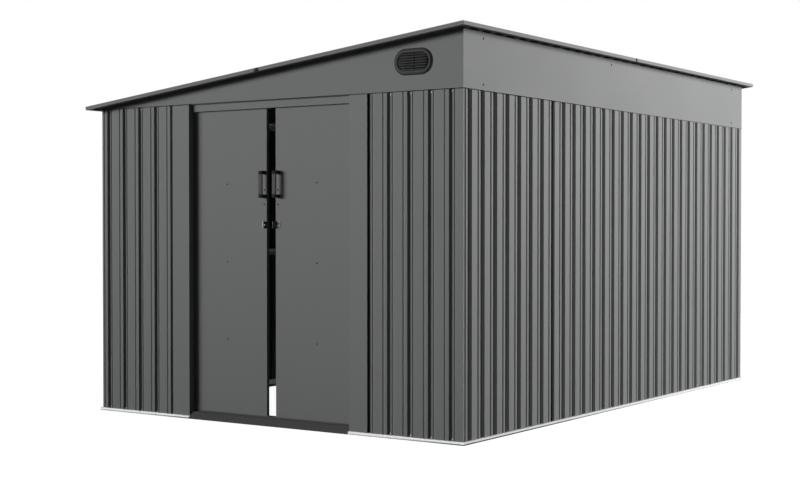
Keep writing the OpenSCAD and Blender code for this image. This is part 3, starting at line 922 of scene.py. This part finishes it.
class SHED_OT_trim_joints(bpy.types.Operator):
    """Lays the dark sleeves over the joints of the roof trim. Those on the front and
    back are black, painted shadow of the trims' lap step
    """

    bl_idname = "shed.trim_joints"
    bl_label = "Trim joints"

    def execute(self, context):
        front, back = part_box("roof_trim_front")[0].y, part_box("roof_trim_back")[1].y
        tall = ROOF_TOP.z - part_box("roof_trim_high")[0].z
        high = ROOF_TOP.x
        mid = ROOF_TOP.z - tall / 2
        slope = np.tan(ROOF_SLOPE)
        ends = {
            "front": [(x, front, mid - (high - x) * slope) for x in FRONT_JOINT],
            "back": [(x, back, mid - (high - x) * slope) for x in FRONT_JOINT[::-1]],
            "high": [(high, y, mid) for y in HIGH_JOINT],
        }
        for name, (start, end) in ends.items():
            grid = bead_grid(start, end, SLEEVE_SHARE * tall, THIN)
            # Black on the front and back paints the shadow of the trims' lap step; the high side's sleeve
            # is dark grey
            finish = "threshold" if name == "high" else "rubber"
            sheet_object(name + "_trim_joint", *grid, "shed", "roof_trim", finish)
        return {"FINISHED"}


class SHED_OT_pulls(bpy.types.Operator):
    """Builds the two door pulls with rounded edges and the covers of their screws"""

    bl_idname = "shed.pulls"
    bl_label = "Door pulls"

    def execute(self, context):
        for door in ("left_door", "right_door"):
            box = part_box(door + "_handle")
            grid = pull_grid(
                box, grip_t=0.008, arm_h=0.018, round_out=0.006, round_in=0.004, edge=0.0022
            )
            pull = sheet_object(door + "_pull", *grid, door, "black_plastic")
            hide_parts(door + "_handle")
            x, y = (box[0].x + box[1].x) / 2, box[0].y - COVER_LIFT
            places = [(x, y, z) for z in (box[0].z + COVER_INSET, box[1].z - COVER_INSET)]
            heads = turned_heads(places, (0, -1, 0), PULL_COVER, around=20)
            sheet_object(door + "_pull_covers", *heads, door, "black_plastic", "cover")
        return {"FINISHED"}


class SHED_OT_vents(bpy.types.Operator):
    """Builds the two louvre vents with a rounded rim, slanted blades and a bar"""

    bl_idname = "shed.vents"
    bl_label = "Vents"

    def execute(self, context):
        _, size = settings()
        width, height = size.vent_w, size.vent_h
        gasket, gasket_faces = oval_rim(width + GASKET_PAST_RIM, height + GASKET_PAST_RIM, VENT_SHADOW_GASKET)
        louvres, faces = joined(
            oval_rim(width, height, VENT_RIM),
            oval_blades(width, height, BLADE_INSET, BLADES),
            oval_bar(height, BLADE_INSET),
        )
        for wall in ("front", "back"):
            placed = on_gable(wall, gasket)
            # The near-black gasket also paints the shadow line round the vent's base
            sheet_object(wall + "_vent_gasket", placed, gasket_faces, "shed", "vent_steel", "rubber")
            vent = sheet_object(wall + "_louvres", on_gable(wall, louvres), faces, "shed", "vent_steel")
            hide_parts(wall + "_vent")
        return {"FINISHED"}


def aim(thing, way):
    """Turns a lamp or a camera to look along a direction."""
    thing.rotation_mode = "QUATERNION"
    thing.rotation_quaternion = way.to_track_quat("-Z", "Y")


class SHED_OT_stage(bpy.types.Operator):
    """Sets the pale floor, the white surroundings, the lamps and the camera"""

    bl_idname = "shed.stage"
    bl_label = "Stage"

    def execute(self, context):
        scene = context.scene
        scene.view_settings.view_transform = "Standard"
        self.floor(scene)
        self.surroundings(scene)
        # Three lamps side by side make one wide, low light
        for k, azimuth in enumerate((32.0, 41.5, 51.0)):
            self.far_lamp(scene, "front_lamp_%d" % k, azimuth, elevation=7.3, spread=13.0, strength=1.17)
        self.flag(scene, azimuth=41.5, distance=26.7, height=2.17)
        aimed_at = (HALF_W, 0.4, 1.0)
        self.wide_lamp(scene, "side_lamp", (11.0, 15.5, 4.8), aimed_at, size=(5.0, 6.0), power=6500)
        self.far_lamp(scene, "top_lamp", azimuth=0.0, elevation=90.0, spread=10.0, strength=0.4)
        self.camera(scene)
        return {"FINISHED"}

    def floor(self, scene):
        """A floor that looks white, keeps the shed's shadow and throws back less
        light than it shows."""
        paint = new_paint("floor")
        pale = paint.node("ShaderNodeBsdfDiffuse", None, {"Color": (0.22, 0.22, 0.22, 1)})
        shade = paint.node("ShaderNodeBsdfDiffuse", None, {"Color": (0.15, 0.15, 0.15, 1)})
        white = paint.node("ShaderNodeEmission", None, {"Color": (1, 1, 1, 1), "Strength": 0.975})
        both = paint.node("ShaderNodeAddShader", None, {0: white.outputs[0], 1: shade.outputs[0]})
        shaders = {0: paint.seen(), 1: pale.outputs[0], 2: both.outputs[0]}
        mixed = paint.node("ShaderNodeMixShader", None, shaders)
        paint.node("ShaderNodeOutputMaterial", None, {"Surface": mixed.outputs[0]})
        half = 9.0
        below = -0.0006
        corners = [(-half, -half, below), (half, -half, below), (half, half, below), (-half, half, below)]
        mesh = bpy.data.meshes.new("floor")
        mesh.from_pydata(corners, [], [(0, 1, 2, 3)])
        mesh.materials.append(paint.owner)
        floor = bpy.data.objects.new("floor", mesh)
        scene.collection.objects.link(floor)

    def surroundings(self, scene):
        """White surroundings that give the shed only a little light."""
        paint = Paint(bpy.data.worlds.new("surroundings"))
        ambient = 0.012
        strength = ambient + (1 - ambient) * paint.seen()
        sky = paint.node("ShaderNodeBackground", None, {"Color": (1, 1, 1, 1), "Strength": strength})
        paint.node("ShaderNodeOutputWorld", None, {"Surface": sky.outputs[0]})
        scene.world = paint.owner

    def wide_lamp(self, scene, name, place, aimed_at, size, power):
        """A rectangular lamp at a place, turned towards a point."""
        data = bpy.data.lights.new(name, "AREA")
        data.shape = "RECTANGLE"
        data.size, data.size_y = size
        data.energy = power
        lamp = bpy.data.objects.new(name, data)
        scene.collection.objects.link(lamp)
        lamp.location = place
        aim(lamp, Vector(aimed_at) - Vector(place))

    def far_lamp(self, scene, name, azimuth, elevation, spread, strength):
        """A far lamp: azimuth 0 is straight in front of the doors and 90 to their
        left, and the spread is how wide it looks from the shed."""
        data = bpy.data.lights.new(name, "SUN")
        data.energy = strength
        data.angle = np.radians(spread)
        lamp = bpy.data.objects.new(name, data)
        scene.collection.objects.link(lamp)
        a, e = np.radians(azimuth), np.radians(elevation)
        towards = Vector((-np.sin(a) * np.cos(e), -np.cos(a) * np.cos(e), np.sin(e)))
        aim(lamp, -towards)

    def flag(self, scene, azimuth, distance, height):
        """A low card far in front that takes a little of the front lamps' light
        from the foot of the walls."""
        half = 10
        a = np.radians(azimuth)
        away = np.array([-np.sin(a), -np.cos(a), 0.0])
        across = np.array([np.cos(a), -np.sin(a), 0.0])
        foot = away * distance + np.outer((-half, half, half, -half), across)
        corners = foot + np.outer((0, 0, height, height), (0, 0, 1))
        mesh = bpy.data.meshes.new("flag")
        mesh.from_pydata(corners.tolist(), [], [(0, 1, 2, 3)])
        mesh.materials.append(finishes["rubber"])
        card = bpy.data.objects.new("flag", mesh)
        card.visible_camera = card.visible_diffuse = card.visible_glossy = False
        scene.collection.objects.link(card)

    def camera(self, scene):
        """The camera of the photograph, fitted to the shed's corners."""
        camera = bpy.data.objects.new("camera", bpy.data.cameras.new("camera"))
        scene.collection.objects.link(camera)
        camera.data.sensor_width = 36.0
        camera.data.lens = 65.7
        camera.data.clip_end = 500.0
        camera.location = (4.9202, -7.8472, 1.0707)
        aim(camera, Vector((-0.5601, 0.8282, -0.0174)))
        scene.camera = camera


class SHED_PT_panel(bpy.types.Panel):
    """Lists the shed's steps and settings"""

    bl_idname = "SHED_PT_panel"
    bl_label = "Steel shed"
    bl_space_type = "VIEW_3D"
    bl_region_type = "UI"
    bl_category = "Shed"

    def draw(self, context):
        for group in settings():
            for name in group.__annotations__:
                self.layout.prop(group, name)
        for step in STEPS:
            self.layout.operator(step.bl_idname)


STEPS = (
    SHED_OT_finishes,
    SHED_OT_wall_screws,
    SHED_OT_roof_screws,
    SHED_OT_rivets,
    SHED_OT_seals,
    SHED_OT_lap_seams,
    SHED_OT_foot_beads,
    SHED_OT_trim_joints,
    SHED_OT_pulls,
    SHED_OT_vents,
    SHED_OT_stage,
)
CLASSES = (ShedColours, ShedSizes, *STEPS, SHED_PT_panel)


def register():
    for kind in CLASSES:
        bpy.utils.register_class(kind)
    bpy.types.Scene.shed_colours = bpy.props.PointerProperty(type=ShedColours)
    bpy.types.Scene.shed_sizes = bpy.props.PointerProperty(type=ShedSizes)


def unregister():
    del bpy.types.Scene.shed_sizes
    del bpy.types.Scene.shed_colours
    for kind in reversed(CLASSES):
        bpy.utils.unregister_class(kind)


def main():
    register()
    bpy.ops.shed.finishes()
    bpy.ops.shed.wall_screws()
    bpy.ops.shed.roof_screws()
    bpy.ops.shed.rivets()
    bpy.ops.shed.seals()
    bpy.ops.shed.lap_seams()
    bpy.ops.shed.foot_beads()
    bpy.ops.shed.trim_joints()
    bpy.ops.shed.pulls()
    bpy.ops.shed.vents()
    bpy.ops.shed.stage()


if __name__ == "__main__":
    main()
